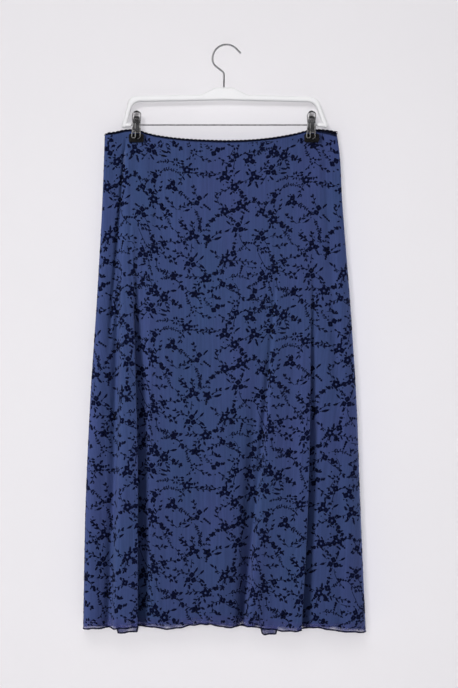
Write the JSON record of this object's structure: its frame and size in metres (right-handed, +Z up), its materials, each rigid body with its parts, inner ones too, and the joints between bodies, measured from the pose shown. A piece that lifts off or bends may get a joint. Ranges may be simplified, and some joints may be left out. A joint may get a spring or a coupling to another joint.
{
  "type": "midi skirt on a clip hanger",
  "caption": "A-line midi skirt of sheer printed cloth over a lining, hung by two clips from a plastic hanger with a wire hook.",
  "frame": {"origin": "underside of the hook's crown, where it bears on whatever holds it up", "axes": "+Z up, front of the skirt faces -Y, +X to the right of somebody looking at the front"},
  "size_m": [0.494, 0.0664, 1.0436],
  "materials": {
    "printed_cloth": "crinkled sheer blue cloth with dark flocked flowers",
    "lining_cloth": "smooth blue lining",
    "dark_elastic": "dark navy picot elastic",
    "white_plastic": "semi-gloss white",
    "chrome": "bright plated steel",
    "black_rubber": "black rubber"
  },
  "bodies": {
    "root": {"front_panel": "printed_cloth", "back_panel": "printed_cloth", "lining_front": "lining_cloth", "lining_back": "lining_cloth", "waist_elastic_front": "dark_elastic", "waist_elastic_back": "dark_elastic", "hanger_arch": "white_plastic", "hanger_hook": "chrome", "hanger_rod": "chrome", "left_clip_spring": "chrome", "left_clip_tab_front": "chrome", "left_clip_hairpin_front": "chrome", "left_clip_leg_front": "chrome", "left_clip_pad_front": "black_rubber", "left_clip_tab_back": "chrome", "left_clip_hairpin_back": "chrome", "left_clip_leg_back": "chrome", "left_clip_pad_back": "black_rubber", "right_clip_spring": "chrome", "right_clip_tab_front": "chrome", "right_clip_hairpin_front": "chrome", "right_clip_leg_front": "chrome", "right_clip_pad_front": "black_rubber", "right_clip_tab_back": "chrome", "right_clip_hairpin_back": "chrome", "right_clip_leg_back": "chrome", "right_clip_pad_back": "black_rubber"}
  },
  "joints": []
}
